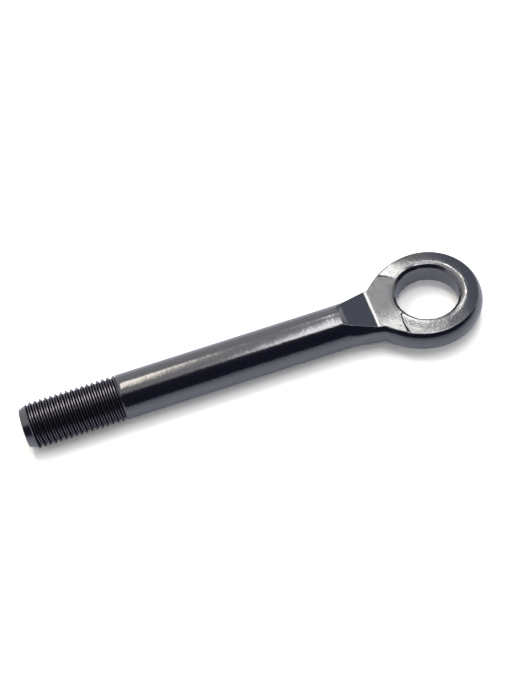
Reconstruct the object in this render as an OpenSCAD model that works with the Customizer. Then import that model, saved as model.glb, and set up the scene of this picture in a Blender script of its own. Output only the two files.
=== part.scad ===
// Threaded tow eye: a drop forged steel eye on a round shank with a coarse thread at its free end.
// Millimetres. The origin is the centre of the eye's bore at half thickness, +Z is the bore's axis,
// and the shank runs along X with the threaded tip at the -X end.

/* [Eye] */
// Radius of the bore that a shackle pin or hook passes through
bore_radius = 15; // [10:0.5:22]
// Radius of the eye's outside at half thickness, on the half away from the shank
ring_radius = 25.9; // [20:0.1:36]
// Radius of the flatter arcs of the eye's outside, on the half next to the shank
heel_radius = 32.5; // [28:0.1:60]
// Thickness of the eye at the ridge round the bore
eye_thickness = 12.6; // [8:0.2:18]
// Width and depth of the 45 degree chamfer at each end of the bore
bore_chamfer = 1.3; // [0.2:0.1:3]
// Radius of the ridge where the eye's faces are highest
ridge_radius = 17.9; // [17:0.1:20]
// Fall of the face from the ridge to the bore's chamfer
lip_fall = 0.2; // [0.1:0.1:0.6]
// Slope of the faces from the ridge down to the rim, in degrees
face_slope = 2; // [1:0.5:8]
// How far the rounded rim stands out past the edge of the level face
rim_out = 2.5; // [1:0.1:4]

/* [Shank] */
// Radius of the plain round shank
shank_radius = 10.75; // [8:0.05:14]
// X where the shank starts to swell towards the eye
swell_start = -46; // [-70:1:-44]
// Radius of the long hollow curve of the swell
swell_curve = 87; // [60:1:160]
// Radius of the hollow corner between the neck and the eye
corner_radius = 2.6; // [1:0.1:6]

/* [Neck flats] */
// X where the press mark of the flats begins on the shank
flat_start = -43.2; // [-50:0.1:-42]
// X where the flats' steep front edge ends and the long slope begins
slope_start = -40.8; // [-42:0.1:-38]
// Height of the slope above the middle plane at its start
slope_height = 8.9; // [7.5:0.1:10]
// X where the slope meets the level flat beside the eye
slope_end = -28.1; // [-32:0.1:-26]
// X of the straight edge where the level flat ends on the eye's face
flat_end = -16.5; // [-22:0.1:-12]
// Slope of that edge down to the eye's face, in degrees
edge_slope = 7; // [4:1:20]
// Radius of the hollow line between the slope and the level flat
slope_blend = 7; // [1:0.5:12]

/* [Threaded end] */
// X of the tip's end face
tip_x = -197.2; // [-260:0.1:-180]
// Radius of the tip's end face
tip_radius = 9; // [6:0.1:10]
// Length of the plain lead-in cone at the tip
lead_length = 4.2; // [1:0.1:8]
// Radius where the lead-in cone runs into the thread
lead_radius = 10.4; // [10.1:0.1:10.9]
// Major radius of the thread, which is the crest of an M22 thread
thread_radius = 11; // [10.8:0.1:12]
// X where the thread ends at the shank
thread_end = -150.8; // [-175:0.1:-120]
// Radius of the hollow line between the thread and the shank
runout_radius = 10.2; // [8:0.1:10.6]
// Length of the bevel from that line up to the shank
runout_length = 1.6; // [0.5:0.1:4]

/* [Hidden] */
round_steps = 96;
half_t = eye_thickness / 2;
lip_z = half_t - lip_fall;
crease_radius = ring_radius - rim_out;
rim_curve = (rim_out * rim_out + half_t * half_t) / (2 * rim_out);
heel_shift = heel_radius - ring_radius;
corner_reach = heel_radius + corner_radius;
corner_guess = -sqrt(pow(corner_reach, 2) - pow(shank_radius + 2 + corner_radius + heel_shift, 2));
corner_y = swell_at(corner_guess) + corner_radius;
corner_x = -sqrt(pow(corner_reach, 2) - pow(corner_y + heel_shift, 2));
slope_angle = atan((slope_height - half_t) / (slope_end - slope_start));
blend_reach = slope_blend * tan(slope_angle / 2);
block = 60;

// Radius of the swelling neck at a given X
function swell_at(x) =
    shank_radius + swell_curve - sqrt(swell_curve * swell_curve - pow(x - swell_start, 2));

// Outline of the neck in the X and radius plane, to be turned about the shank's axis
module neck_half() {
    difference() {
        translate([swell_start, 0])
            square([-swell_start - ridge_radius + 4, shank_radius + 7]);
        translate([swell_start, shank_radius + swell_curve])
            circle(r = swell_curve, $fn = 4 * round_steps);
    }
}

// Outline of the tip, thread and plain shank in the same plane
module shank_half() {
    polygon([
        [tip_x, 0],
        [tip_x, tip_radius],
        [tip_x + lead_length, lead_radius],
        [tip_x + lead_length + thread_radius - lead_radius, thread_radius],
        [thread_end - 0.8, thread_radius],
        [thread_end, runout_radius],
        [thread_end + runout_length, shank_radius],
        [swell_start, shank_radius],
        [swell_start, 0]
    ]);
}

// The round body: tip, thread, shank and swelling neck, turned about X
module round_body() {
    rotate([0, 90, 0])
        rotate_extrude($fn = round_steps)
            rotate([0, 0, 90]) {
                shank_half();
                neck_half();
            }
}

// Upper half of the neck's side view, with the pressed slope and the level flat
module side_half() {
    polygon([
        [tip_x - 5, 0],
        [tip_x - 5, block],
        [flat_start - 1, block],
        [flat_start - 1, shank_radius + 1],
        [flat_start, shank_radius],
        [slope_start, slope_height],
        [slope_end, half_t],
        [0, half_t],
        [0, 0]
    ]);
    difference() {
        polygon([
            [slope_end - blend_reach * cos(slope_angle), half_t + blend_reach * sin(slope_angle)],
            [slope_end + blend_reach, half_t],
            [slope_end, half_t - 0.5]
        ]);
        translate([slope_end + blend_reach, half_t + slope_blend])
            circle(r = slope_blend, $fn = round_steps);
    }
}

// Space left between the press flats of the two dies
module between_flats() {
    rotate([90, 0, 0])
        linear_extrude(height = block, center = true) {
            side_half();
            mirror([0, 1])
                side_half();
        }
}

// Flat disc with the rounded rim, to be turned about its own centre
module rim_disc(radius) {
    rotate_extrude($fn = 2 * round_steps) {
        translate([0, -half_t])
            square([radius - rim_out, eye_thickness]);
        intersection() {
            translate([radius - rim_out - 1, -half_t])
                square([rim_out + 2, eye_thickness]);
            translate([radius - rim_curve, 0])
                circle(r = rim_curve, $fn = 2 * round_steps);
        }
    }
}

// Half of the eye next to the shank, drawn out towards it between two flatter arcs
module heel() {
    intersection() {
        translate([0, heel_shift, 0])
            rim_disc(heel_radius);
        translate([0, -heel_shift, 0])
            rim_disc(heel_radius);
        translate([-ring_radius - 4, -block / 2, -block / 2])
            cube([ring_radius + 4, block, block]);
    }
}

// Tool shape that hollows one corner, shaped to stay tangent to the rounded rim
module corner_cutter() {
    rotate_extrude($fn = round_steps)
        difference() {
            translate([0, -half_t - 1])
                square([corner_radius + rim_out + 1, eye_thickness + 2]);
            translate([corner_radius + rim_curve, 0])
                circle(r = rim_curve, $fn = 2 * round_steps);
        }
}

// Metal that fills one corner between the neck and the eye
module corner_web() {
    difference() {
        linear_extrude(height = eye_thickness, center = true)
            polygon([
                [corner_x * heel_shift / (corner_y + heel_shift), 0],
                [corner_x, corner_y],
                [corner_x, 0]
            ]);
        translate([corner_x, corner_y, 0])
            corner_cutter();
    }
}

// Metal pressed away above one face of the eye, outside the ridge and past the level flat's edge
module face_cut() {
    intersection() {
        rotate_extrude($fn = 2 * round_steps)
            polygon([
                [ridge_radius, half_t],
                [block, half_t - (block - ridge_radius) * tan(face_slope)],
                [block, half_t + 5],
                [ridge_radius, half_t + 5]
            ]);
        rotate([90, 0, 0])
            linear_extrude(height = 2 * block, center = true)
                polygon([
                    [flat_end, half_t],
                    [block, half_t - (block - flat_end) * tan(edge_slope)],
                    [block, half_t + 4],
                    [flat_end, half_t + 4]
                ]);
    }
}

// Bore with the chamfer and the shallow lip at each end
module bore_cut() {
    rotate_extrude($fn = 2 * round_steps)
        polygon([
            [0, -half_t - 5],
            [ridge_radius, -half_t - 5],
            [ridge_radius, -half_t],
            [bore_radius + bore_chamfer, -lip_z],
            [bore_radius, -lip_z + bore_chamfer],
            [bore_radius, lip_z - bore_chamfer],
            [bore_radius + bore_chamfer, lip_z],
            [ridge_radius, half_t],
            [ridge_radius, half_t + 5],
            [0, half_t + 5]
        ]);
}

// The whole forging
module tow_eye() {
    color("#2b2d33")
        difference() {
            union() {
                intersection() {
                    round_body();
                    between_flats();
                }
                rim_disc(ring_radius);
                heel();
                corner_web();
                mirror([0, 1, 0])
                    corner_web();
            }
            face_cut();
            mirror([0, 0, 1])
                face_cut();
            bore_cut();
        }
}

tow_eye();
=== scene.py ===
"""Threaded tow eye in satin black: a forged eye and shank with a right-hand thread at the free end.

Sizes in the dataclasses are millimetres. Meshes are metres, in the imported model's own frame.
"""
import logging
import math
from dataclasses import dataclass, field
from enum import Enum

import bmesh
import bpy
import numpy as np
from mathutils import Matrix, Vector, noise


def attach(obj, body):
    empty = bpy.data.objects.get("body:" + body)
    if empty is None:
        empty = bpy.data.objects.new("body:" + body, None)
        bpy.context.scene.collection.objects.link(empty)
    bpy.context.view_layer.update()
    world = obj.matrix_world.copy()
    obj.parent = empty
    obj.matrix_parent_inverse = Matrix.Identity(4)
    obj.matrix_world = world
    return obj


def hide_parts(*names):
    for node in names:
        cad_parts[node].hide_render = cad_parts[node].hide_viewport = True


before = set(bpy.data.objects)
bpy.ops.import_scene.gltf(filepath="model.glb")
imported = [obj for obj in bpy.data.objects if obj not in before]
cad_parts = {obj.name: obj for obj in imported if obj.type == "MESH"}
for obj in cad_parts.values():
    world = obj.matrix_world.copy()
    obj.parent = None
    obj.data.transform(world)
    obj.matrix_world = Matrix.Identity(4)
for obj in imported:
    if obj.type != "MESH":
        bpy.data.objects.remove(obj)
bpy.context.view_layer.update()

MM = 0.001
LOG = logging.getLogger("tow_eye")
MARKS = ("edge", "ridge", "grain", "matte")
RIDGE_RADIUS = 17.9
TIP_SEAM = (-193.7, 10.17)
RUNOUT_SEAM = (-150.8, 10.2)
SHANK_SEAM = (-150.1, 10.75)
THREAD_LENGTHS = {
    "Start": "start_x", "Tip End": "tip_end", "Shank End": "shank_end", "Pitch": "pitch",
    "Crest Radius": "crest_radius", "Root Radius": "root_radius", "Tip Radius": "tip_radius",
    "Shank Radius": "shank_radius", "Lead": "lead", "Runout": "runout",
}


class Surface(Enum):
    """Which tool left a stretch of the surface as it is."""

    FORGED = 0
    TURNED = 1
    THREAD = 2


@dataclass(frozen=True)
class Station:
    """One place along the eye's middle-plane outline, with the round section that passes through it."""

    x: float
    y: float
    out_x: float
    out_y: float
    round_radius: float


@dataclass
class Outline:
    """Middle-plane outline from the shank, round the hollow corner, to the far side of the eye."""

    shank_radius: float = 10.75
    swell_start: float = -46.0
    swell_curve: float = 87.0
    corner_radius: float = 2.6
    heel_radius: float = 32.5
    ring_radius: float = 25.87
    rim_radius: float = 9.19
    turn_start: float = -38.0
    blend_start: float = -33.0
    blend_end: float = -19.0
    corner: tuple[float, float] = field(init=False)
    neck_end: tuple[float, float] = field(init=False)
    heel_start: tuple[float, float] = field(init=False)

    def __post_init__(self) -> None:
        """Finds the centre of the hollow corner and where it runs into the swell and the heel."""
        sx, sy = self.swell_start, self.shank_radius + self.swell_curve
        hy = -self.heel_shift
        to_swell = self.swell_curve - self.corner_radius
        to_heel = self.heel_radius + self.corner_radius
        dx, dy = -sx, hy - sy
        gap = math.hypot(dx, dy)
        along = (to_swell**2 - to_heel**2 + gap**2) / (2 * gap)
        aside = math.sqrt(to_swell**2 - along**2)
        cx = sx + (along * dx + aside * dy) / gap
        cy = sy + (along * dy - aside * dx) / gap
        grow = self.swell_curve / to_swell
        reach = self.heel_radius / to_heel
        self.corner = (cx, cy)
        self.neck_end = (sx + grow * (cx - sx), sy + grow * (cy - sy))
        self.heel_start = (reach * cx, hy + reach * (cy - hy))

    @property
    def heel_shift(self) -> float:
        """How far the heel arc's centre lies past the shank's axis."""
        return self.heel_radius - self.ring_radius

    def swell(self, x: float) -> float:
        """Radius of the swelling neck at x."""
        if x <= self.swell_start:
            return self.shank_radius
        return self.shank_radius + self.swell_curve - math.sqrt(self.swell_curve**2 - (x - self.swell_start) ** 2)

    def section_radius(self, x: float) -> float:
        """Radius of the side's round section at x, which tightens from the neck's to the rim's."""
        return mix(self.swell(min(x, self.neck_end[0])), self.rim_radius, ease(self.blend_start, self.blend_end, x))

    def on_neck(self, x: float) -> Station:
        """Station on the swelling neck.

        Args:
            x: place along the shank.

        Returns:
            The station, whose outward direction turns to the outline's own near the corner.
        """
        rise = (x - self.swell_start) / math.sqrt(self.swell_curve**2 - (x - self.swell_start) ** 2)
        turn = math.atan(max(rise, 0.0)) * ease(self.turn_start, self.neck_end[0], x)
        return Station(x, self.swell(x), -math.sin(turn), math.cos(turn), self.section_radius(x))

    def on_corner(self, share: float) -> Station:
        """Station in the hollow corner, from 0 at the neck to 1 at the heel."""
        cx, cy = self.corner
        start = math.atan2(self.neck_end[1] - cy, self.neck_end[0] - cx)
        end = math.atan2(self.heel_start[1] - cy, self.heel_start[0] - cx)
        angle = mix(start, end, share)
        x = cx + self.corner_radius * math.cos(angle)
        y = cy + self.corner_radius * math.sin(angle)
        return Station(x, y, -math.cos(angle), -math.sin(angle), self.section_radius(x))

    def on_heel(self, angle: float) -> Station:
        """Station on the flatter arc of the eye beside the shank, by the arc's own angle."""
        x, y = self.heel_radius * math.cos(angle), self.heel_radius * math.sin(angle) - self.heel_shift
        return Station(x, y, math.cos(angle), math.sin(angle), self.section_radius(x))

    def on_ring(self, angle: float) -> Station:
        """Station on the round half of the eye."""
        x, y = self.ring_radius * math.cos(angle), self.ring_radius * math.sin(angle)
        return Station(x, y, math.cos(angle), math.sin(angle), self.rim_radius)

    def heel_span(self) -> tuple[float, float]:
        """Angles of the heel arc from the corner to where the round half begins."""
        x, y = self.heel_start
        return math.atan2(y + self.heel_shift, x), math.pi / 2


def mix(a: float, b: float, share: float) -> float:
    """Value between a and b."""
    return a + (b - a) * share


def ease(low: float, high: float, value: float) -> float:
    """Smooth step from 0 at low to 1 at high."""
    t = min(1.0, max(0.0, (value - low) / (high - low)))
    return t * t * (3 - 2 * t)


def soft_least(a: float, b: float, width: float) -> float:
    """Lesser of two heights, with the crease between them rounded over width."""
    h = max(width - abs(a - b), 0.0) / width
    return min(a, b) - h * h * width / 4


def soft_most(a: float, b: float, width: float) -> float:
    """Greater of two heights, with the crease between them rounded over width."""
    return -soft_least(-a, -b, width)


@dataclass(frozen=True)
class PressLine:
    """Straight line where the level flat ends on one side of the eye, from the rim in to the ridge."""

    rim: tuple[float, float]
    ridge_angle: float
    turn: float
    slope: float
    lip_span: tuple[float, float, float, float]
    knots: tuple[tuple[float, float], ...]
    ridge_radius: float = RIDGE_RADIUS
    line_half: float = 0.55
    line_above: float = 10.0

    def lip_share(self, angle: float) -> float:
        """How much of the lip's fall there is at an angle, as the lip fades out beside the press line."""
        fade, gone, back, half = self.lip_span
        beta = math.degrees(angle)
        return max(ease(gone, fade, beta), 0.5 * ease(back, half, beta))

    def past(self, x: float, y: float) -> float:
        """How far a point lies past the line, away from the shank."""
        angle = math.radians(self.ridge_angle)
        rx, ry = self.ridge_radius * math.cos(angle), self.ridge_radius * math.sin(angle)
        dx, dy = self.rim[0] - rx, self.rim[1] - ry
        return ((x - rx) * dy - (y - ry) * dx) / math.hypot(dx, dy)

    def join_angle(self, x: float, y: float) -> float:
        """Angle on the ridge that a point of the face's edge is joined to, so that joins run along the line."""
        aside = x - self.rim[0]
        if y > self.line_above and abs(aside) <= self.line_half:
            return math.radians(self.ridge_angle - self.turn * aside)
        beta = math.degrees(math.atan2(y, x))
        return math.radians(float(np.interp(beta, [k[0] for k in self.knots], [k[1] for k in self.knots])))


NEAR_LINE = PressLine((-16.5, 18.6), 157.19, 8.26, 12.0, (60.0, 100.0, 160.0, 178.0), (
    (0.0, 0.0), (60.0, 60.0), (128.3, 153.4), (131.3, 161.7), (157.0, 171.0), (180.0, 180.0)))
FAR_LINE = PressLine((-18.7, 16.9), 131.0, 3.83, 25.0, (88.0, 108.0, 132.0, 146.0), (
    (0.0, 0.0), (60.0, 60.0), (136.2, 128.9), (139.4, 133.1), (180.0, 180.0)))


@dataclass
class Faces:
    """The pressed faces: the long slope of the neck, the level flat and the eye's faces outside the ridge."""

    line: PressLine = NEAR_LINE
    half_thickness: float = 6.3
    ridge_radius: float = RIDGE_RADIUS
    face_slope: float = 2.0
    crown_slope: float = 7.0
    crown_reach: float = 5.5
    crown_span: tuple[float, float] = (62.0, 30.0)
    flat_start: float = -43.2
    slope_start: float = -40.8
    slope_height: float = 8.9
    slope_end: float = -28.1
    slope_blend: float = 1.2
    foot_end: float = -26.9
    foot_slope: float = 1.0
    foot_crease: float = 0.008
    line_reach: float = 3.0
    hollow_crease: float = 0.05
    level_crease: float = 0.02

    def pressed(self, x: float) -> float:
        """How far the section at x is pressed from the round shank to the flats."""
        return min(1.0, max(0.0, (x - self.flat_start) / (self.slope_start - self.flat_start)))

    def side_height(self, x: float) -> float:
        """Height of the pressed flats at x, seen from the side."""
        fall = (self.slope_height - self.half_thickness) / (self.slope_end - self.slope_start)
        slope = self.slope_height - fall * (x - self.slope_start)
        angle = math.atan(fall)
        width = self.slope_blend * math.tan(angle / 2) * 2 * math.tan(angle)
        foot = self.half_thickness + (self.foot_end - x) * math.tan(math.radians(self.foot_slope))
        return soft_most(slope, soft_most(foot, self.half_thickness, self.foot_crease), width)

    def face_fall(self, x: float, y: float) -> float:
        """Fall of the eye's face outside the ridge, crowned but for the part beside the shank."""
        out = math.hypot(x, y) - self.ridge_radius
        crown = ease(self.crown_span[0], self.crown_span[1], abs(math.degrees(math.atan2(y, x))))
        low, high = math.tan(math.radians(self.face_slope)), math.tan(math.radians(self.crown_slope))
        return out * low + crown * (high - low) * max(out, 0.0) ** 2 / (2 * self.crown_reach)

    def height(self, x: float, y: float) -> float:
        """Height of the upper face at a point of the eye or neck."""
        level = self.side_height(x)
        beyond = self.line.past(x, y)
        if beyond < -self.line_reach:
            return level
        cone = self.half_thickness - self.face_fall(x, y)
        past = self.half_thickness - beyond * math.tan(math.radians(self.line.slope))
        return soft_least(level, soft_most(cone, past, self.hollow_crease), self.level_crease)


@dataclass
class Patch:
    """Growing store of points, faces and the marks that the finishes read."""

    points: list[tuple[float, float, float]] = field(default_factory=list)
    faces: list[tuple[int, ...]] = field(default_factory=list)
    surface: list[int] = field(default_factory=list)
    marks: list[tuple[float, ...]] = field(default_factory=list)

    def add(
        self,
        point: tuple[float, float, float],
        surface: Surface,
        edge: float = 0.0,
        ridge: float = 0.0,
        grain: float = 1.0,
        matte: float = 0.0,
    ) -> int:
        """Adds one point.

        Args:
            point: its place.
            surface: the tool that made it.
            edge: how much it is part of a rounded edge.
            ridge: how much it is part of the worn ridge round the bore.
            grain: how coarse the skin is there.
            matte: how dull the coat is there.

        Returns:
            The point's number.
        """
        self.points.append(point)
        self.surface.append(surface.value)
        self.marks.append((edge, ridge, grain, matte))
        return len(self.points) - 1

    def grid(self, rows: list[list[int]], closed: bool = False) -> None:
        """Joins rows of points into four-sided faces.

        Args:
            rows: point numbers, one list a row, all of the same length.
            closed: joins the last column to the first as well.
        """
        for a, b in zip(rows, rows[1:]):
            span = range(len(a)) if closed else range(len(a) - 1)
            for j in span:
                k = (j + 1) % len(a)
                self.faces.append((a[j], a[k], b[k], b[j]))


@dataclass
class ForgedBody:
    """The eye, the neck and the plain shank, built as one quarter and mirrored in both middle planes."""

    outline: Outline = field(default_factory=Outline)
    faces: Faces = field(default_factory=Faces)
    bore_radius: float = 15.0
    bore_chamfer: float = 1.3
    lip_fall: float = 0.2
    edge_round: float = 0.7
    knee_height: float = 3.3
    knee_round: float = 1.2
    knee_in: tuple[float, float] = (-43.2, -34.5)
    knee_out: tuple[float, float] = (-21.5, -27.0)
    join_x: float = SHANK_SEAM[0]
    even_to: float = -80.0
    dense_from: float = -60.0
    top_columns: int = 11
    edge_rows: int = 6
    side_rows: int = 15
    face_rows: int = 20
    side_grain: float = 0.35
    slope_grain: float = 0.2
    level_grain: float = 0.7
    lip_grain: float = 0.45
    ridge_matte: float = 0.1
    level_dull: float = 1.0
    foot_line: float = -26.6
    foot_blend: float = 0.35
    face_grain: float = 0.55
    rim_grain: float = 0.8
    level_span: tuple[float, float] = (-27.2, -26.2)
    side_span: tuple[float, float] = (-60.0, -35.0)
    face_span: tuple[float, float] = (1.6, 3.2)
    wear_span: tuple[float, float] = (1.2, 0.2)
    matte_span: tuple[float, float] = (2.2, 0.6)
    line_span: tuple[float, float] = (0.3, -0.3)
    edge_gap: float = 0.2
    ridge_gap: float = 0.25
    lip_steps: tuple[float, ...] = (0.25, 0.6, 1.0, 1.3, 1.48)
    chamfer_shares: tuple[float, ...] = (0.2, 0.5, 0.8)
    wall_heights: tuple[float, ...] = (3.6, 2.4, 1.2, 0.0)

    @property
    def quarter_steps(self) -> int:
        """Steps round a quarter of the shank."""
        return self.top_columns + self.edge_rows + self.side_rows

    def side_section(self, st: Station, top: float) -> list[tuple[float, float, float]]:
        """Section of the side from the face's edge down to the middle plane.

        Args:
            st: the outline station.
            top: height of the face at its edge.

        Returns:
            Points as (distance outwards, height, how much it is part of the rounded edge).
        """
        rho, rf = st.round_radius, self.edge_round
        centre = -rho + math.sqrt(max((rho - rf) ** 2 - (top - rf) ** 2, 1e-6))
        low = math.atan2(top - rf, centre + rho)
        points = []
        for i in range(self.edge_rows + 1):
            a = mix(math.pi / 2, low, i / self.edge_rows)
            points.append((centre + rf * math.cos(a), top - rf + rf * math.sin(a), 1.0))
        knee = ease(*self.knee_in, st.x) * ease(*self.knee_out, st.x)
        draft = rho * (1 - math.cos(low)) / self.past_knee(rho * math.sin(low))
        for i in range(1, self.side_rows + 1):
            a = mix(low, 0.0, i / self.side_rows)
            z = rho * math.sin(a)
            points.append((-mix(rho * (1 - math.cos(a)), draft * self.past_knee(z), knee), z, 0.0))
        return points

    def past_knee(self, z: float) -> float:
        """How far a height lies past the rounded knee where the neck's side turns from upright to its draft."""
        start, end = self.knee_height - self.knee_round, self.knee_height + self.knee_round
        if z >= end:
            return z - self.knee_height
        return max(z - start, 0.0) ** 2 / (4 * self.knee_round)

    def settled_section(self, st: Station) -> list[tuple[float, float, float]]:
        """Side section whose top is the face's height at the very edge that it makes."""
        top = self.faces.height(st.x, st.y)
        for _ in range(5):
            edge = self.side_section(st, top)[0][0]
            top = self.faces.height(st.x + edge * st.out_x, st.y + edge * st.out_y)
        return self.side_section(st, top)

    def neck_station(self, x: float) -> Station:
        """Neck station whose upper edge, and not its middle, stands at x."""
        at = x
        for _ in range(6):
            st = self.outline.on_neck(at)
            at = min(x - self.settled_section(st)[0][0] * st.out_x, self.outline.neck_end[0])
        return self.outline.on_neck(at)

    def neck_places(self) -> list[float]:
        """X of the neck's loops, closer together where the press mark and the hollow line are."""
        last = self.faces
        places = [last.flat_start + s for s in (0.0, 0.12, 0.4, 0.8, 1.2, 1.6, 2.0, 2.28, 2.4, 2.52, 2.8, 3.2)]
        places += list(np.linspace(last.slope_start + 1.4, last.slope_end - 1.2, 16))
        places += list(np.linspace(last.slope_end - 0.9, last.foot_end + 0.3, 13))
        st = self.outline.on_neck(self.outline.neck_end[0])
        edge = st.x + self.settled_section(st)[0][0] * st.out_x
        places += [p for p in np.linspace(last.foot_end + 0.6, edge, 3) if p > places[-1]]
        return [float(x) for x in places]

    def even_loop(self) -> list[float]:
        """Angles from the side of the shank for evenly spaced points, top first."""
        return [math.pi / 2 * (1 - i / self.quarter_steps) for i in range(self.quarter_steps + 1)]

    def build_shank(self, patch: Patch, first: list[tuple[float, float]]) -> list[list[int]]:
        """Rows of the plain shank and the start of the swell, a quarter of the way round.

        Args:
            patch: store that the points go to.
            first: the first neck loop, as (y, z), that the last row of the shank runs into.

        Returns:
            The rows, from the thread's end to the press mark.
        """
        start = self.faces.flat_start
        aim = [math.atan2(z, y) for y, z in first]
        even = self.even_loop()
        places = list(np.arange(self.join_x, self.dense_from, 1.25))
        places += list(np.linspace(self.dense_from + 0.4, start - 0.25, 16))
        rows = []
        for x in places:
            share = ease(self.even_to, start, x)
            r = self.outline.swell(x)
            angles = [mix(a, b, share) for a, b in zip(even, aim)]
            rows.append([patch.add((x, r * math.cos(a), r * math.sin(a)), Surface.FORGED) for a in angles])
        return rows

    def neck_loop(self, x: float) -> tuple[list[tuple[float, float, float]], list[tuple[float, float, float]]]:
        """One quarter loop of the neck, where the section goes from round to flat.

        Args:
            x: place of the loop at its upper edge.

        Returns:
            The points from the middle of the flat to the middle plane, and the edge, grain and matte of each.
        """
        st = self.neck_station(x)
        section = self.settled_section(st)
        edge_y = st.y + section[0][0] * st.out_y
        share = self.faces.pressed(x)
        grain = mix(mix(1.0, self.slope_grain, share), self.level_grain, ease(*self.level_span, x))
        smooth = ease(*self.side_span, x)
        points, marks = [], []
        for j in range(self.top_columns):
            y = edge_y * j / (self.top_columns - 0.55)
            points.append((x, y, self.faces.height(x, y)))
            marks.append((0.0, grain, self.level_matte(x)))
        for out, z, edge in section:
            points.append((st.x + out * st.out_x, st.y + out * st.out_y, z))
            marks.append((edge * share, mix(1.0, self.side_grain, smooth * (1 - edge)), 0.0))
        if share < 1.0:
            radius = self.outline.swell(x)
            for i, (px, y, z) in enumerate(points):
                out = mix(radius / math.hypot(y, z), 1.0, share)
                points[i] = (px, y * out, z * out)
        return points, marks

    def outline_stations(self) -> list[Station]:
        """Stations from the end of the neck to the far side of the eye."""
        stations = [self.outline.on_corner(i / 6) for i in range(1, 6)]
        start, end = self.outline.heel_span()
        special = [self.heel_angle_at(self.faces.line.rim[0] + d) for d in (-0.5, -0.25, 0.0, 0.25, 0.5)]
        plain = [a for a in np.linspace(start, end, 34) if min(abs(a - s) for s in special) > 0.009]
        stations += [self.outline.on_heel(a) for a in sorted(plain + special, reverse=True)]
        stations += [self.outline.on_ring(a) for a in np.linspace(math.pi / 2, 0.0, 46)[1:]]
        return stations

    def heel_angle_at(self, x: float) -> float:
        """Angle of the heel station whose upper edge stands at x."""
        angle = math.acos(x / self.outline.heel_radius)
        for _ in range(8):
            st = self.outline.on_heel(angle)
            edge = self.settled_section(st)[0][0]
            angle = math.acos(x / (self.outline.heel_radius + edge))
        return angle

    def bore_rows(self, angle: float) -> list[tuple[float, float, float, float, Surface]]:
        """Profile from inside the ridge, over the lip and chamfer, down the bore to the middle plane.

        Args:
            angle: place round the bore.

        Returns:
            Rows as (radius, height, edge, ridge, surface).
        """
        lip_fall = self.lip_fall * self.faces.line.lip_share(angle)
        h, lip, c = self.faces.half_thickness, self.faces.half_thickness - lip_fall, self.bore_chamfer
        r0, r1 = self.bore_radius, self.bore_radius + c
        fall = lip_fall / (self.faces.ridge_radius - r1)
        rows = [(self.faces.ridge_radius, h, 0.0, 1.0, Surface.FORGED)]
        for d in self.lip_steps:
            rows.append((self.faces.ridge_radius - d, h - fall * d, 0.0, max(0.0, 1.0 - d), Surface.FORGED))
        rows.append((r1 + 0.03, lip - 0.012, 1.0, 0.0, Surface.FORGED))
        rows.append((r1 - 0.06, lip - 0.09, 0.6, 0.0, Surface.TURNED))
        for s in self.chamfer_shares:
            rows.append((r1 - c * s, lip - c * s, 0.0, 0.0, Surface.TURNED))
        rows.append((r0 + 0.06, lip - c + 0.09, 0.6, 0.0, Surface.TURNED))
        rows.append((r0 + 0.005, lip - c - 0.05, 1.0, 0.0, Surface.TURNED))
        for z in (lip - c - 0.25, *self.wall_heights):
            rows.append((r0, z, 0.0, 0.0, Surface.TURNED))
        return rows

    def build_eye(self, patch: Patch, cross: list[tuple[float, float, float]], side: list[int], tops: list[int]) -> None:
        """Adds the upper +Y quarter of the eye.

        Args:
            patch: store that the points go to.
            cross: the last neck loop's upper points, from the middle to the face's edge.
            side: point numbers of the last neck loop's side, from the face's edge down.
            tops: point numbers of the last neck loop's upper points.
        """
        stations = self.outline_stations()
        side_rows = [side]
        edge_points = list(cross)
        edge_ids = list(tops)
        for st in stations:
            row = []
            for out, z, edge in self.settled_section(st):
                place = (st.x + out * st.out_x, st.y + out * st.out_y, z)
                grain = mix(self.side_grain, self.rim_grain, edge)
                row.append(patch.add(place, Surface.FORGED, edge, 0.0, grain))
            side_rows.append(row)
            edge_ids.append(row[0])
            edge_points.append(patch.points[row[0]])
        patch.grid(side_rows)
        columns = []
        for (x, y, _), outer in zip(edge_points, edge_ids):
            columns.append(self.face_column(patch, x, y, outer))
        patch.grid(columns)

    def face_column(self, patch: Patch, x: float, y: float, outer: int) -> list[int]:
        """One line of points from the face's edge to the bore's middle plane."""
        angle = self.faces.line.join_angle(x, y)
        lip_matte = self.ridge_matte * self.faces.line.lip_share(angle)
        ca, sa = math.cos(angle), math.sin(angle)
        rx, ry = self.faces.ridge_radius * ca, self.faces.ridge_radius * sa
        length = math.hypot(x - rx, y - ry)
        reach = length - self.ridge_gap
        steps = [self.edge_gap / length]
        steps += [mix(self.edge_gap, reach, i / self.face_rows) / length for i in range(1, self.face_rows + 1)]
        column = [outer]
        for share in [1 - s for s in steps]:
            px, py = mix(rx, x, share), mix(ry, y, share)
            out = math.hypot(px, py) - self.faces.ridge_radius
            wear = ease(*self.wear_span, out) if share < 0.5 else 0.0
            level = ease(*self.line_span, self.faces.line.past(px, py))
            grain = mix(mix(1.0, self.face_grain, ease(*self.face_span, out)), self.level_grain, level)
            matte = mix(lip_matte * ease(*self.matte_span, out), self.level_matte(px), level)
            column.append(patch.add((px, py, self.faces.height(px, py)), Surface.FORGED, 0.0, wear, grain, matte))
        for r, z, edge, ridge, surface in self.bore_rows(angle):
            matte = max(lip_matte, level * self.level_dull) if surface is Surface.FORGED else 0.0
            column.append(patch.add((r * ca, r * sa, z), surface, edge, ridge, self.lip_grain, matte))
        return column

    def level_matte(self, x: float) -> float:
        """How dull the level flat is at x, past the burnished line along its foot."""
        return self.level_dull * ease(self.foot_line - self.foot_blend, self.foot_line + self.foot_blend, x)

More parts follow.
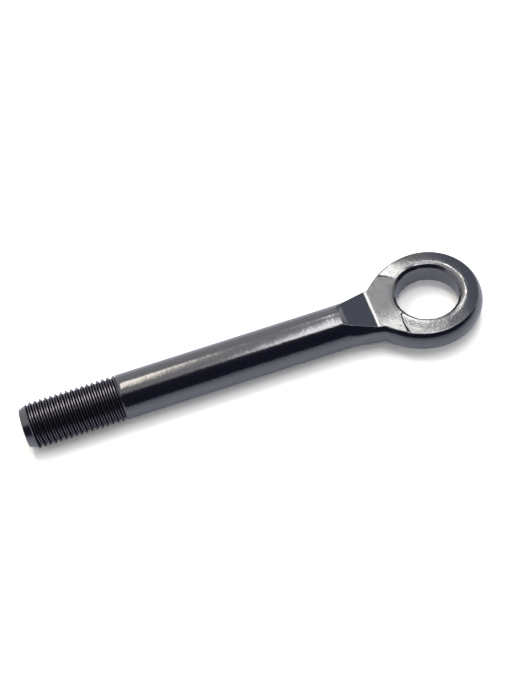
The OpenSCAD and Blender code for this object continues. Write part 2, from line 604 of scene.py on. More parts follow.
    def build_quarter(self) -> Patch:
        """The upper +Y quarter of the eye, neck and shank."""
        patch = Patch()
        loops = [self.neck_loop(x) for x in self.neck_places()]
        first = [(y, z) for _, y, z in loops[0][0]]
        rows = self.build_shank(patch, first)
        for points, marks in loops:
            rows.append([patch.add(p, Surface.FORGED, edge, 0.0, g, m) for p, (edge, g, m) in zip(points, marks)])
        patch.grid(rows)
        last = loops[-1][0]
        n = self.top_columns
        self.build_eye(patch, last[: n + 1], rows[-1][n:], rows[-1][: n + 1])
        return patch


@dataclass
class ScrewThread:
    """Right-hand M22 x 2.5 thread, cut by a tree of geometry nodes from the helix's own rule."""

    start_x: float = -196.17
    tip_end: float = TIP_SEAM[0]
    shank_end: float = RUNOUT_SEAM[0]
    pitch: float = 2.5
    crest_radius: float = 10.97
    root_radius: float = 9.75
    tip_radius: float = TIP_SEAM[1]
    shank_radius: float = RUNOUT_SEAM[1]
    lead: float = 0.5
    runout: float = 0.8
    lead_rise: float = 0.6
    run_fall: float = 0.8
    crest_share: float = 1 / 16
    root_share: float = 6 / 16
    half_step: float = 1 / 32
    root_wear: float = 0.8
    weld: float = 0.002
    steps_a_turn: int = 16
    columns: int = 128

    def build(self, material: bpy.types.Material) -> bpy.types.Object:
        """Runs the tree and returns the thread as a plain mesh object."""
        tree = self.make_tree()
        host = put("thread_host", bpy.data.meshes.new("thread_host"))
        modifier = host.modifiers.new("thread", "NODES")
        modifier.node_group = tree
        turns = (self.shank_end - self.start_x) / self.pitch + 1.1
        values = {label: getattr(self, name) * MM for label, name in THREAD_LENGTHS.items()} | {
            "Steps a Turn": self.steps_a_turn,
            "Steps": int(turns * self.steps_a_turn) + 1,
            "Columns": self.columns,
            "Material": material,
        }
        for item in tree.interface.items_tree:
            if item.item_type == "SOCKET" and item.in_out == "INPUT":
                modifier[item.identifier] = values[item.name]
        bpy.context.view_layer.update()
        graph = bpy.context.evaluated_depsgraph_get()
        mesh = bpy.data.meshes.new_from_object(host.evaluated_get(graph))
        host.modifiers.clear()
        bpy.data.objects.remove(host)
        return put("thread", mesh)

    def make_tree(self) -> bpy.types.NodeTree:
        """Tree that lays a grid along the helix and sets each point's radius from the thread's profile."""
        tree = bpy.data.node_groups.new("Screw Thread", "GeometryNodeTree")
        face = tree.interface
        face.new_socket("Geometry", in_out="OUTPUT", socket_type="NodeSocketGeometry")
        for name in THREAD_LENGTHS:
            face.new_socket(name, in_out="INPUT", socket_type="NodeSocketFloat")
        for name in ("Steps a Turn", "Steps", "Columns"):
            face.new_socket(name, in_out="INPUT", socket_type="NodeSocketInt")
        face.new_socket("Material", in_out="INPUT", socket_type="NodeSocketMaterial")
        plan = NodePlan(tree)
        source = tree.nodes.new("NodeGroupInput").outputs
        grid = tree.nodes.new("GeometryNodeMeshGrid")
        grid.inputs["Size X"].default_value = 1.0
        grid.inputs["Size Y"].default_value = 1.0
        plan.link(plan.math("ADD", source["Steps"], 1.0), grid.inputs["Vertices X"])
        plan.link(plan.math("ADD", source["Columns"], 1.0), grid.inputs["Vertices Y"])
        place = plan.parts(tree.nodes.new("GeometryNodeInputPosition").outputs[0])
        along = plan.math("DIVIDE", source["Steps"], source["Steps a Turn"])
        turns = plan.math("MULTIPLY", plan.math("ADD", place["X"], 0.5), along)
        round_share = plan.math("ADD", place["Y"], 0.5)
        helix = plan.math("SUBTRACT", plan.math("ADD", turns, round_share), 1.0)
        free_x = plan.math("MULTIPLY_ADD", helix, source["Pitch"], source["Start"])
        x = plan.math("MINIMUM", plan.math("MAXIMUM", free_x, source["Tip End"]), source["Shank End"])
        share = plan.math("FRACT", plan.math("ADD", turns, 0.5))
        from_crest = plan.math("ABSOLUTE", plan.math("SUBTRACT", share, 0.5))
        crest, root = self.crest_share, self.root_share
        profile = plan.ramp(from_crest, crest, root, source["Crest Radius"], source["Root Radius"])
        lead_end = plan.math("ADD", source["Tip End"], source["Lead"])
        lead_floor = plan.ramp(x, source["Tip End"], lead_end, source["Tip Radius"], source["Root Radius"])
        run_start = plan.math("SUBTRACT", source["Shank End"], source["Runout"])
        run_floor = plan.ramp(x, run_start, source["Shank End"], source["Root Radius"], source["Shank Radius"])
        floor = plan.math("MAXIMUM", lead_floor, run_floor)
        lead_full = plan.math("ADD", source["Tip End"], self.lead_rise * MM)
        lead_top = plan.ramp(x, source["Tip End"], lead_full, source["Tip Radius"], source["Crest Radius"])
        run_full = plan.math("SUBTRACT", source["Shank End"], self.run_fall * MM)
        run_top = plan.ramp(x, run_full, source["Shank End"], source["Crest Radius"], source["Shank Radius"])
        ceiling = plan.math("MINIMUM", lead_top, run_top)
        radius = plan.math("MINIMUM", plan.math("MAXIMUM", profile, floor), ceiling)
        angle = plan.math("MULTIPLY", round_share, math.tau)
        side = plan.math("MULTIPLY", plan.math("MULTIPLY", radius, plan.math("SINE", angle)), -1.0)
        up = plan.math("MULTIPLY", radius, plan.math("COSINE", angle))
        joined = tree.nodes.new("ShaderNodeCombineXYZ")
        for value, socket in zip((x, side, up), joined.inputs):
            plan.link(value, socket)
        smooth = tree.nodes.new("GeometryNodeSetShadeSmooth")
        plan.link(grid.outputs["Mesh"], smooth.inputs["Geometry"])
        crisp = tree.nodes.new("GeometryNodeSetShadeSmooth")
        crisp.domain = "EDGE"
        crisp.inputs["Shade Smooth"].default_value = False
        at_crest, at_root = (plan.math("COMPARE", from_crest, at, 0.01) for at in (crest, root))
        plan.link(plan.math("ADD", at_crest, at_root), crisp.inputs["Selection"])
        moved = tree.nodes.new("GeometryNodeSetPosition")
        plan.link(joined.outputs[0], moved.inputs["Position"])
        worn = tree.nodes.new("GeometryNodeStoreNamedAttribute")
        worn.inputs["Name"].default_value = "edge"
        on_crest = plan.math("LESS_THAN", from_crest, crest + self.half_step)
        in_root = plan.math("GREATER_THAN", from_crest, root + self.half_step)
        plan.link(plan.math("MULTIPLY_ADD", in_root, self.root_wear, on_crest), worn.inputs["Value"])
        merged = tree.nodes.new("GeometryNodeMergeByDistance")
        merged.inputs["Distance"].default_value = self.weld * MM
        real = tree.nodes.new("GeometryNodeRealizeInstances")
        dress = tree.nodes.new("GeometryNodeSetMaterial")
        out = tree.nodes.new("NodeGroupOutput")
        plan.chain(smooth, crisp, worn, moved, merged, real, dress, out)
        plan.link(source["Material"], dress.inputs["Material"])
        return tree


@dataclass
class NodePlan:
    """Short ways to add and join nodes in one tree."""

    tree: bpy.types.NodeTree

    def node(self, kind: str) -> bpy.types.Node:
        """Adds a node of that kind."""
        return self.tree.nodes.new(kind)

    def link(self, value: object, socket: bpy.types.NodeSocket) -> None:
        """Joins a socket, or sets a plain value, on an input."""
        if isinstance(value, bpy.types.NodeSocket):
            self.tree.links.new(value, socket)
        else:
            socket.default_value = value

    def math(self, operation: str, *values: object) -> bpy.types.NodeSocket:
        """Math node.

        Args:
            operation: Blender's name for the sum.
            values: sockets or numbers, in order.

        Returns:
            The result's socket.
        """
        node = self.tree.nodes.new("ShaderNodeMath")
        node.operation = operation
        for value, socket in zip(values, node.inputs):
            self.link(value, socket)
        return node.outputs[0]

    def ramp(self, value: object, low: object, high: object, at_low: object, at_high: object) -> bpy.types.NodeSocket:
        """Clamped straight ramp from at_low to at_high."""
        node = self.tree.nodes.new("ShaderNodeMapRange")
        for given, socket in zip((value, low, high, at_low, at_high), node.inputs):
            self.link(given, socket)
        return node.outputs[0]

    def noise(self, place: object, scale: object, detail: float) -> bpy.types.NodeSocket:
        """Noise from 0 to 1 at a place that is given in millimetres."""
        node = self.node("ShaderNodeTexNoise")
        self.link(place, node.inputs["Vector"])
        self.link(scale, node.inputs["Scale"])
        node.inputs["Detail"].default_value = detail
        return node.outputs["Fac"]

    def scaled(self, vector: object, by: float) -> bpy.types.NodeSocket:
        """Vector times a number."""
        node = self.node("ShaderNodeVectorMath")
        node.operation = "SCALE"
        self.link(vector, node.inputs[0])
        node.inputs["Scale"].default_value = by
        return node.outputs[0]

    def blend(self, share: object, first: object, second: object) -> bpy.types.NodeSocket:
        """Colour between two colours, each a socket or three numbers."""
        node = self.node("ShaderNodeMix")
        node.data_type = "RGBA"
        self.link(share, node.inputs["Factor"])
        for colour, socket in ((first, node.inputs[6]), (second, node.inputs[7])):
            self.link((*colour, 1.0) if isinstance(colour, tuple) else colour, socket)
        return node.outputs[2]

    def mark(self, name: str) -> bpy.types.NodeSocket:
        """Value of one of the piece's own marks."""
        node = self.node("ShaderNodeAttribute")
        node.attribute_name = name
        return node.outputs["Fac"]

    def group(self, tree: bpy.types.NodeTree, values: dict[str, object]) -> bpy.types.NodeOutputs:
        """Places a shared node group with its own values."""
        node = self.node("ShaderNodeGroup")
        node.node_tree = tree
        for label, value in values.items():
            self.link(value, node.inputs[label])
        return node.outputs

    def bump(self, height: object, distance: float, under: bpy.types.NodeSocket | None) -> bpy.types.NodeSocket:
        """Bump of a height, laid over the bump below it if there is one."""
        node = self.node("ShaderNodeBump")
        self.link(height, node.inputs["Height"])
        node.inputs["Distance"].default_value = distance
        if under is not None:
            self.link(under, node.inputs["Normal"])
        return node.outputs[0]

    def parts(self, vector: object) -> bpy.types.NodeOutputs:
        """The three numbers of a vector."""
        node = self.node("ShaderNodeSeparateXYZ")
        self.link(vector, node.inputs[0])
        return node.outputs

    def reach(self, a: object, b: object) -> bpy.types.NodeSocket:
        """Distance from an axis, by the two numbers across it."""
        return self.math("SQRT", self.math("ADD", self.math("MULTIPLY", a, a), self.math("MULTIPLY", b, b)))

    def background(self, strength: object, colour: object = None) -> bpy.types.NodeSocket:
        """Background shader, with the node's own pale grey if no colour is given."""
        node = self.node("ShaderNodeBackground")
        self.link(strength, node.inputs["Strength"])
        if colour is not None:
            self.link(colour, node.inputs["Color"])
        return node.outputs[0]

    def either(self, share: object, first: object, second: object) -> bpy.types.NodeSocket:
        """First shader at a share of 0, second at 1."""
        node = self.node("ShaderNodeMixShader")
        for value, socket in zip((share, first, second), node.inputs):
            self.link(value, socket)
        return node.outputs[0]

    def chain(self, *nodes: bpy.types.Node) -> None:
        """Joins each node's geometry output to the next one's geometry input."""
        for a, b in zip(nodes, nodes[1:]):
            self.tree.links.new(a.outputs[0], b.inputs[0])


def put(name: str, data: bpy.types.ID) -> bpy.types.Object:
    """Makes an object of that data and links it to the scene."""
    made = bpy.data.objects.new(name, data)
    bpy.context.scene.collection.objects.link(made)
    return made


@dataclass
class Tip:
    """The turned ends of the thread: the lead-in cone with the end face, and the bevel up to the shank."""

    end_x: float = -197.2
    end_radius: float = 9.0
    cone_x: float = TIP_SEAM[0]
    cone_radius: float = TIP_SEAM[1]
    groove_x: float = RUNOUT_SEAM[0]
    groove_radius: float = RUNOUT_SEAM[1]
    shank_x: float = SHANK_SEAM[0]
    shank_radius: float = SHANK_SEAM[1]
    columns: int = 128

    def turned(self, patch: Patch, profile: list[tuple[float, float, float]]) -> list[list[int]]:
        """Rings of points about the shank's axis for a profile of (x, radius, edge)."""
        rings = []
        for x, r, edge in profile:
            ring = []
            for k in range(self.columns):
                a = math.tau * k / self.columns
                ring.append(patch.add((x, -r * math.sin(a), r * math.cos(a)), Surface.TURNED, edge))
            rings.append(ring)
        patch.grid(rings, closed=True)
        return rings

    def build(self) -> Patch:
        """Both turned stretches."""
        patch = Patch()
        x, r = self.end_x, self.end_radius
        slope = (self.cone_radius - r) / (self.cone_x - x)
        profile = [(self.cone_x, self.cone_radius, 0.0)]
        for s in (0.1, 0.4, 0.8, 1.3, 1.8, 2.3, 2.8, 3.1):
            profile.append((self.cone_x - s, self.cone_radius - slope * s, 0.0))
        profile += [(x + 0.28, r + 0.06, 0.5), (x + 0.1, r - 0.04, 1.0), (x + 0.015, r - 0.22, 1.0), (x, r - 0.45, 0.0)]
        profile += [(x, r * s, 0.0) for s in (0.9, 0.75, 0.6, 0.45, 0.3, 0.15, 0.05)]
        rings = self.turned(patch, profile)
        centre = patch.add((x, 0.0, 0.0), Surface.TURNED)
        last = rings[-1]
        for k in range(self.columns):
            patch.faces.append((last[k], last[(k + 1) % self.columns], centre))
        rise = (self.shank_radius - self.groove_radius) / (self.shank_x - self.groove_x)
        bevel = [(self.groove_x + s, self.groove_radius + rise * s, 0.0) for s in (0.0, 0.1, 0.35, 0.6)]
        bevel += [(self.shank_x, self.shank_radius, 0.0)]
        self.turned(patch, bevel)
        return patch


def add_patch(target: bmesh.types.BMesh, patch: Patch, flip_y: bool = False, flip_z: bool = False) -> None:
    """Copies a patch into a bmesh, mirrored if asked, with its marks as point attributes."""
    surface = target.verts.layers.int.get("surface") or target.verts.layers.int.new("surface")
    layers = [target.verts.layers.float.get(n) or target.verts.layers.float.new(n) for n in MARKS]
    made = []
    for (x, y, z), s, marks in zip(patch.points, patch.surface, patch.marks):
        vert = target.verts.new((x * MM, (-y if flip_y else y) * MM, (-z if flip_z else z) * MM))
        vert[surface] = s
        for layer, value in zip(layers, marks):
            vert[layer] = value
        made.append(vert)
    for numbers in patch.faces:
        corners = [made[i] for i in numbers]
        if flip_y != flip_z:
            corners.reverse()
        face = target.faces.new(corners)
        face.material_index = min(patch.surface[i] for i in numbers)


@dataclass
class TowEye:
    """The whole forging: every stretch welded into one closed mesh."""

    near: ForgedBody = field(default_factory=ForgedBody)
    far: ForgedBody = field(default_factory=lambda: ForgedBody(faces=Faces(line=FAR_LINE, crown_span=(118.0, 84.0))))
    thread: ScrewThread = field(default_factory=ScrewThread)
    tip: Tip = field(default_factory=Tip)
    hollow_depth: float = 0.012
    hollow_size: float = 9.0
    ragged: float = 0.42
    ragged_size: float = 3.0
    ragged_in: tuple[float, float] = (4.3, 4.6)
    ragged_out: tuple[float, float] = (5.3, 4.9)
    ragged_squash: float = 0.02
    eye_from: float = -30.0
    near_matte: float = 0.15
    near_span: tuple[float, float] = (0.0, 11.0)
    far_grain: float = 0.35
    far_span: tuple[float, float] = (9.0, 14.0)
    heel_span: tuple[float, float] = (-1.0, -6.0)

    def age(self, shell: bmesh.types.BMesh) -> None:
        """Lowers the forged skin in slight hollows, rubs the near side bright and leaves the chamfer ragged."""
        surface = shell.verts.layers.int["surface"]
        matte, grain = (shell.verts.layers.float[name] for name in ("matte", "grain"))
        shell.normal_update()
        moves = []
        for vert in shell.verts:
            x, y, _ = vert.co / MM
            vert[matte] *= mix(1.0, self.near_matte, ease(*self.near_span, -y))
            vert[grain] *= mix(1.0, self.far_grain, ease(*self.far_span, y) * ease(*self.heel_span, x))
            if vert[surface] == Surface.FORGED.value:
                deep = 0.5 + 0.5 * noise.noise(vert.co / (self.hollow_size * MM))
                moves.append((vert, -vert.normal * deep * self.hollow_depth * MM))
            elif vert[surface] == Surface.TURNED.value and vert.co.x > self.eye_from * MM:
                height = abs(vert.co.z) / MM
                share = ease(*self.ragged_in, height) * ease(*self.ragged_out, height)
                wave = noise.noise(vert.co * Vector((1, 1, self.ragged_squash)) / (self.ragged_size * MM))
                moves.append((vert, Vector((0, 0, share * wave * self.ragged * MM))))
        for vert, move in moves:
            vert.co += move

    def build(self, finishes: list[bpy.types.Material]) -> bpy.types.Object:
        """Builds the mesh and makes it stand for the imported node.

        Args:
            finishes: the forged, turned and thread finishes, in the order of Surface.

        Returns:
            The piece.
        """
        shell = bmesh.new()
        for quarter, flip_y in ((self.far.build_quarter(), False), (self.near.build_quarter(), True)):
            for flip_z in (False, True):
                add_patch(shell, quarter, flip_y, flip_z)
        add_patch(shell, self.tip.build())
        thread = self.thread.build(finishes[Surface.THREAD.value])
        surface = shell.verts.layers.int["surface"]
        verts, faces = len(shell.verts), len(shell.faces)
        shell.from_mesh(thread.data)
        shell.verts.ensure_lookup_table()
        shell.faces.ensure_lookup_table()
        for vert in shell.verts[verts:]:
            vert[surface] = Surface.THREAD.value
        for face in shell.faces[faces:]:
            face.material_index = Surface.THREAD.value
        bpy.data.objects.remove(thread)
        bmesh.ops.remove_doubles(shell, verts=shell.verts, dist=0.003 * MM)
        bmesh.ops.recalc_face_normals(shell, faces=shell.faces)
        self.age(shell)
        open_edges = sum(1 for e in shell.edges if not e.is_manifold)
        mesh = bpy.data.meshes.new("forged_tow_eye")
        for f in shell.faces:
            f.smooth = True
        shell.to_mesh(mesh)
        shell.free()
        piece = put("forged_tow_eye", mesh)
        for finish in finishes:
            mesh.materials.append(finish)
        triangles = sum(len(p.vertices) - 2 for p in mesh.polygons)
        LOG.info("forged_tow_eye: %d triangles, %d open edges", triangles, open_edges)
        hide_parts("tow_eye")
        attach(piece, "root")
        return piece


def start_group(
    name: str, inputs: dict[str, float | None], outputs: tuple[str, ...]
) -> tuple[NodePlan, bpy.types.NodeOutputs, bpy.types.NodeInputs]:
    """Starts a shader node group.

    Args:
        name: the group's name.
        inputs: each input's name, with None for a vector or a number's first value.
        outputs: names of the outputs, which are all numbers.

    Returns:
        The plan of its tree, the sockets that carry the inputs, and the sockets that take the outputs.
    """
    tree = bpy.data.node_groups.new(name, "ShaderNodeTree")
    for label, value in inputs.items():
        kind = "NodeSocketVector" if value is None else "NodeSocketFloat"
        socket = tree.interface.new_socket(label, in_out="INPUT", socket_type=kind)
        if value is not None:
            socket.default_value = value
    for label in outputs:
        tree.interface.new_socket(label, in_out="OUTPUT", socket_type="NodeSocketFloat")
    plan = NodePlan(tree)
    return plan, plan.node("NodeGroupInput").outputs, plan.node("NodeGroupOutput").inputs


@dataclass(frozen=True)
class SkinGroup:
    """Orange peel of the coat over the forged skin: long waves, peel, fine grain and sparse pimples."""

    wave_size: float = 6.0
    pimple_gap: float = 2.6

    def build(self) -> bpy.types.NodeTree:
        """Builds the group, which gives a height and a shade from 0 to 1."""
        plan, given, made = start_group(
            "Coat Skin", {"Vector": None, "Peel Size": 1.1, "Grain": 1.0, "Pimples": 0.5}, ("Height", "Shade")
        )
        place = plan.scaled(given["Vector"], 1 / MM)
        wave = plan.noise(place, 1 / self.wave_size, 0.0)
        peel = plan.noise(place, plan.math("DIVIDE", 1.0, given["Peel Size"]), 1.0)
        fine = plan.noise(place, plan.math("DIVIDE", 2.3, given["Peel Size"]), 1.0)
        cells = plan.node("ShaderNodeTexVoronoi")
        plan.link(place, cells.inputs["Vector"])
        cells.inputs["Scale"].default_value = 1 / self.pimple_gap
        pimple = plan.ramp(cells.outputs["Distance"], 0.03, 0.14, 1.0, 0.0)
        some = plan.ramp(plan.noise(place, 0.21, 0.0), 0.5, 0.58, 0.0, 1.0)
        pimple = plan.math("MULTIPLY", plan.math("MULTIPLY", pimple, some), given["Pimples"])
        rough = plan.math("MULTIPLY_ADD", fine, 0.25, plan.math("MULTIPLY", peel, 0.6))
        rough = plan.math("MULTIPLY", plan.math("ADD", rough, pimple), given["Grain"])
        plan.link(plan.math("ADD", rough, wave), made["Height"])
        plan.link(plan.math("MULTIPLY_ADD", peel, 0.5, plan.math("MULTIPLY", fine, 0.5)), made["Shade"])
        return plan.tree


@dataclass(frozen=True)
class WearGroup:
    """Coat worn through to steel: streaks round the ridge and chips along the edges."""

    streak_width: float = 0.24
    streak_length: float = 4.5

    def build(self) -> bpy.types.NodeTree:
        """Builds the group, which gives a mask of bare steel."""
        plan, given, made = start_group(
            "Coat Wear", {"Vector": None, "Edge": 0.0, "Ridge": 0.0, "Even": 0.0, "Amount": 1.0}, ("Bare",)
        )
        place = plan.scaled(given["Vector"], 1 / MM)
        x, y, _ = plan.parts(place)
        radius = plan.reach(x, y)
        angle = plan.math("ARCTAN2", y, x)
        polar = plan.node("ShaderNodeCombineXYZ")
        plan.link(plan.math("DIVIDE", radius, self.streak_width), polar.inputs["X"])
        plan.link(plan.math("MULTIPLY", angle, 17.5 / self.streak_length), polar.inputs["Y"])
        streak = plan.ramp(plan.noise(polar.outputs[0], 1.0, 2.0), 0.52, 0.6, 0.0, 1.0)
        far = plan.ramp(x, 1.0, 13.0, 0.0, 1.0)
        ridge = plan.math("MULTIPLY", plan.math("MULTIPLY", streak, given["Ridge"]), far)
        chip = plan.ramp(plan.noise(place, 0.8, 2.0), 0.66, 0.74, 0.0, 0.35)
        edge = plan.math("MULTIPLY", plan.math("MAXIMUM", chip, given["Even"]), given["Edge"])
        plan.link(plan.math("MULTIPLY", plan.math("MAXIMUM", ridge, edge), given["Amount"]), made["Bare"])
        return plan.tree


@dataclass(frozen=True)
class ToolMarkGroup:
    """Fine rings that a turning tool or a die leaves."""

    def build(self) -> bpy.types.NodeTree:
        """Builds the group, which gives a height that changes along one measure."""
        plan, given, made = start_group("Tool Marks", {"Along": 0.0, "Spacing": 0.3}, ("Height",))
        rings = plan.node("ShaderNodeTexNoise")
        rings.noise_dimensions = "1D"
        plan.link(plan.math("DIVIDE", given["Along"], given["Spacing"]), rings.inputs["W"])
        rings.inputs["Scale"].default_value = 1.0
        rings.inputs["Detail"].default_value = 2.0
        plan.link(rings.outputs["Fac"], made["Height"])
        return plan.tree


@dataclass(frozen=True)
class Finish:
    """One satin black finish, by the tool that left the steel under the coat. Depths are millimetres."""

    name: str
    roughness: float
    spread: float
    peel_size: float
    peel_depth: float
    pimples: float
    mark_spacing: float
    mark_depth: float
    wear: float
    even_wear: float = 0.0
    bare_rough: float = 0.1
    matte_rough: float = 0.2
    matte_spread: float = 0.3
    ior: float = 2.0
    coat: tuple[float, float, float] = (0.0055, 0.006, 0.0155)
    steel: tuple[float, float, float] = (0.62, 0.61, 0.58)
    eye_from: float = -60.0

    def build(self, groups: dict[str, bpy.types.NodeTree]) -> bpy.types.Material:
        """Builds the material.

        Args:
            groups: the shared node groups by name.

        Returns:
            The material.
        """
        material = bpy.data.materials.new(self.name)
        material.use_nodes = True
        plan = NodePlan(material.node_tree)
        shader = material.node_tree.nodes["Principled BSDF"]
        shader.inputs["IOR"].default_value = self.ior
        shader.inputs["Specular Tint"].default_value = (0.96, 0.975, 1.0, 1.0)
        place = plan.node("ShaderNodeTexCoord").outputs["Object"]
        edge, ridge, grain, matte = (plan.mark(name) for name in MARKS)
        skin = plan.group(groups["Coat Skin"], {"Vector": place, "Peel Size": self.peel_size, "Grain": grain,
                                                "Pimples": self.pimples})
        wear = plan.group(groups["Coat Wear"], {"Vector": place, "Edge": edge, "Ridge": ridge, "Even": self.even_wear,
                                                "Amount": self.wear})
        marks = plan.group(groups["Tool Marks"], {"Along": self.along(plan, place), "Spacing": self.mark_spacing})
        bare = wear["Bare"]
        plan.link(plan.blend(bare, self.coat, self.steel), shader.inputs["Base Color"])
        plan.link(bare, shader.inputs["Metallic"])
        shade = plan.ramp(skin["Shade"], 0.3, 0.7, self.roughness - self.spread, self.roughness + self.spread)
        dull = plan.ramp(skin["Shade"], 0.3, 0.7, self.matte_rough - self.matte_spread / 5,
                         self.matte_rough + self.matte_spread / 5)
        shade = plan.math("MULTIPLY_ADD", matte, dull, shade)
        plan.link(plan.math("MULTIPLY_ADD", bare, self.bare_rough, shade), shader.inputs["Roughness"])
        first = plan.bump(marks["Height"], self.mark_depth * MM, None)
        second = plan.bump(skin["Height"], self.peel_depth * MM, first)
        plan.link(second, shader.inputs["Normal"])
        return material

    def along(self, plan: NodePlan, place: bpy.types.NodeSocket) -> bpy.types.NodeSocket:
        """Measure along which tool marks follow each other: down the bore, or out and along at the tip."""
        x, y, z = plan.parts(plan.scaled(place, 1 / MM))
        radius = plan.reach(y, z)
        at_eye = plan.math("GREATER_THAN", x, self.eye_from)
        blend = plan.node("ShaderNodeMix")
        plan.link(at_eye, blend.inputs["Factor"])
        plan.link(plan.math("ADD", x, radius), blend.inputs[2])
        plan.link(z, blend.inputs[3])
        return blend.outputs[0]


@dataclass(frozen=True)
class FinishShop:
    """The three finishes in the order of Surface, with the node groups that they share."""

    finishes: tuple[Finish, ...] = (
        Finish("forged_black", 0.155, 0.03, 1.1, 0.06, 0.5, 0.4, 0.0, 1.0),
        Finish("turned_black", 0.22, 0.03, 0.9, 0.012, 0.0, 0.35, 0.008, 0.5),
        Finish("thread_black", 0.25, 0.03, 0.6, 0.01, 0.0, 0.2, 0.0, 1.0, even_wear=1.0, bare_rough=0.02, ior=1.13,
               coat=(0.0018, 0.002, 0.005), steel=(0.125, 0.122, 0.15)),
    )

    def build(self) -> list[bpy.types.Material]:
        """Builds the groups once and then each finish."""
        trees = (SkinGroup().build(), WearGroup().build(), ToolMarkGroup().build())
        groups = {tree.name: tree for tree in trees}
        return [finish.build(groups) for finish in self.finishes]


@dataclass(frozen=True)
class StripLamp:
    """Long soft lamp over the object, with its brightness beside a white of 1."""

    name: str
    at: tuple[float, float, float]
    width: float
    length: float
    turn: float
    brightness: float
    colour: tuple[float, float, float] = (1.0, 1.0, 1.0)


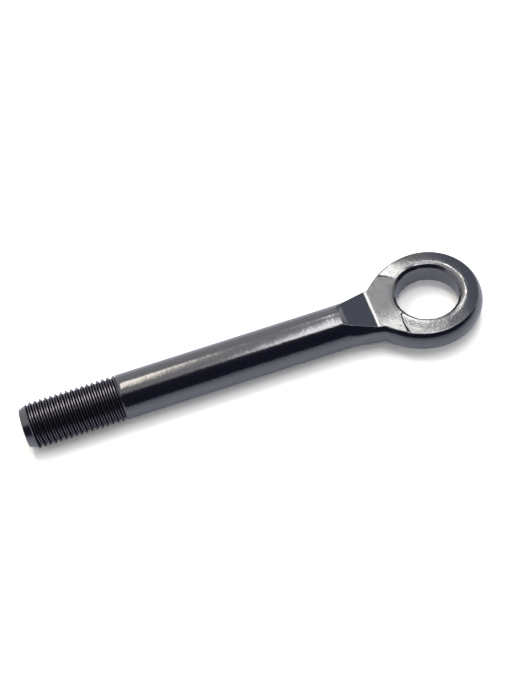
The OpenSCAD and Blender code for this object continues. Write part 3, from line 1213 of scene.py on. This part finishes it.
@dataclass
class Studio:
    """Pale floor, soft lamps, a white surround and the photograph's camera."""

    floor_z: float = -11.0
    tent_side: tuple[float, float, float] = (0.0, 0.936, 0.352)
    tent_edge: float = 0.05
    tent_colour: tuple[float, float, float] = (1.07, 1.06, 1.05)
    right_colour: tuple[float, float, float] = (0.455, 0.5, 0.58)
    right_in: tuple[float, float] = (0.215, 0.3)
    right_out: tuple[float, float] = (0.58, 0.72)
    room_level: float = 0.016
    fill_level: float = 0.6
    floor_colour: tuple[float, float, float] = (0.85, 0.85, 0.85)
    floor_seen: tuple[float, float, float] = (1.75, 1.75, 1.75)
    # Floor colours that only reflections see: brighter with a painted bluish tint near the object, and painted darker
    # farther from it toward the camera.
    floor_mirrored_painted_tint: tuple[float, float, float] = (1.12, 1.17, 1.33)
    mirrored_painted_dim: tuple[float, float, float] = (0.62, 0.68, 0.82)
    painted_dim_span: tuple[float, float] = (0.018, 0.1)
    lamps: tuple[StripLamp, ...] = (
        StripLamp("left_strip", (-0.201, 0.3, 0.7), 0.15, 0.45, -10.8, 7.2, (1.1, 1.0, 0.86)),
        StripLamp("right_strip", (0.084, 0.019, 0.7), 0.13, 0.555, -12.4, 7.0),
        StripLamp("far_box", (0.124, 0.513, 0.7), 0.056, 0.27, 3.0, 13.5, (1.03, 1.0, 0.94)),
    )
    focal_pixels: float = 1403.1
    long_side: int = 688
    eye_at: tuple[float, float, float] = (-132.299, -370.029, 537.496)
    right: tuple[float, float, float] = (0.94966, -0.29135, -0.11518)
    up: tuple[float, float, float] = (0.30395, 0.7677, 0.56414)
    back: tuple[float, float, float] = (-0.07594, -0.57075, 0.8176)

    def build_camera(self) -> None:
        """Camera at the photograph's place and angle."""
        data = bpy.data.cameras.new("camera")
        data.lens = self.focal_pixels * data.sensor_width / self.long_side
        data.clip_start, data.clip_end = 0.01, 20.0
        camera = put("camera", data)
        turn = Matrix((self.right, self.up, self.back)).transposed().to_4x4()
        camera.matrix_world = Matrix.Translation(Vector(self.eye_at) * MM) @ turn
        bpy.context.scene.camera = camera

    def build_floor(self) -> None:
        """White floor that keeps the object's shadow. Reflections see it brighter, with a painted bluish tint, and with
        painted shade that darkens it farther from the object toward the camera.
        """
        mesh = bpy.data.meshes.new("floor")
        size, z = 3.0, self.floor_z * MM
        mesh.from_pydata([(-size, -size, z), (size, -size, z), (size, size, z), (-size, size, z)], [], [(0, 1, 2, 3)])
        floor = put("floor", mesh)
        material = bpy.data.materials.new("white_floor")
        material.use_nodes = True
        material.node_tree.nodes.clear()
        plan = NodePlan(material.node_tree)
        path = plan.node("ShaderNodeLightPath").outputs
        diffuse = plan.node("ShaderNodeBsdfDiffuse")
        place = plan.parts(plan.node("ShaderNodeTexCoord").outputs["Object"])
        # Painted shade: reflections see the floor darken farther from the object toward the camera, and they see it
        # with a painted bluish tint.
        painted_dim = plan.ramp(place["Y"], -self.painted_dim_span[0], -self.painted_dim_span[1], 0.0, 1.0)
        mirrored = plan.blend(painted_dim, self.floor_mirrored_painted_tint, self.mirrored_painted_dim)
        mirrored = plan.blend(path["Is Glossy Ray"], self.floor_colour, mirrored)
        plan.link(plan.blend(path["Is Camera Ray"], mirrored, self.floor_seen), diffuse.inputs["Color"])
        plan.link(diffuse.outputs[0], plan.node("ShaderNodeOutputMaterial").inputs["Surface"])
        mesh.materials.append(material)

    def build_world(self) -> None:
        """White to the camera. Reflections see a white tent that is open and dark on the camera's side."""
        world = bpy.data.worlds.new("surround")
        bpy.context.scene.world = world
        world.use_nodes = True
        world.node_tree.nodes.clear()
        plan = NodePlan(world.node_tree)
        path = plan.node("ShaderNodeLightPath").outputs
        way = plan.node("ShaderNodeTexCoord").outputs["Generated"]
        toward = plan.node("ShaderNodeVectorMath")
        toward.operation = "DOT_PRODUCT"
        plan.link(way, toward.inputs[0])
        toward.inputs[1].default_value = self.tent_side
        across = plan.parts(way)["X"]
        to_right = plan.math("MULTIPLY", plan.ramp(across, *self.right_in, 0.0, 1.0),
                             plan.ramp(across, *self.right_out, 1.0, 0.0))
        tent = plan.ramp(toward.outputs["Value"], -self.tent_edge, self.tent_edge, self.room_level, 1.0)
        glossy = plan.background(tent, plan.blend(to_right, self.tent_colour, self.right_colour))
        shown = plan.either(path["Is Glossy Ray"], plan.background(self.fill_level), glossy)
        seen = plan.either(path["Is Camera Ray"], shown, plan.background(1.0))
        plan.link(seen, plan.node("ShaderNodeOutputWorld").inputs["Surface"])

    def build_lamp(self, lamp: StripLamp) -> None:
        """Long soft lamp that faces straight down."""
        data = bpy.data.lights.new(lamp.name, "AREA")
        data.shape = "RECTANGLE"
        data.size, data.size_y = lamp.width, lamp.length
        data.energy = lamp.brightness * math.pi * lamp.width * lamp.length
        data.color = lamp.colour
        body = put(lamp.name, data)
        body.location = lamp.at
        body.rotation_euler = (0.0, 0.0, math.radians(lamp.turn))

    def build(self) -> None:
        """Makes everything round the object."""
        self.build_camera()
        self.build_floor()
        self.build_world()
        for lamp in self.lamps:
            self.build_lamp(lamp)
        bpy.context.scene.view_settings.view_transform = "Standard"


def main() -> None:
    """Builds the studio and the tow eye."""
    logging.basicConfig(level=logging.INFO, format="%(name)s %(message)s")
    Studio().build()
    LOG.info("studio ready")
    finishes = FinishShop().build()
    LOG.info("finishes: %s", ", ".join(finish.name for finish in finishes))
    TowEye().build(finishes)


if __name__ == "__main__":
    main()
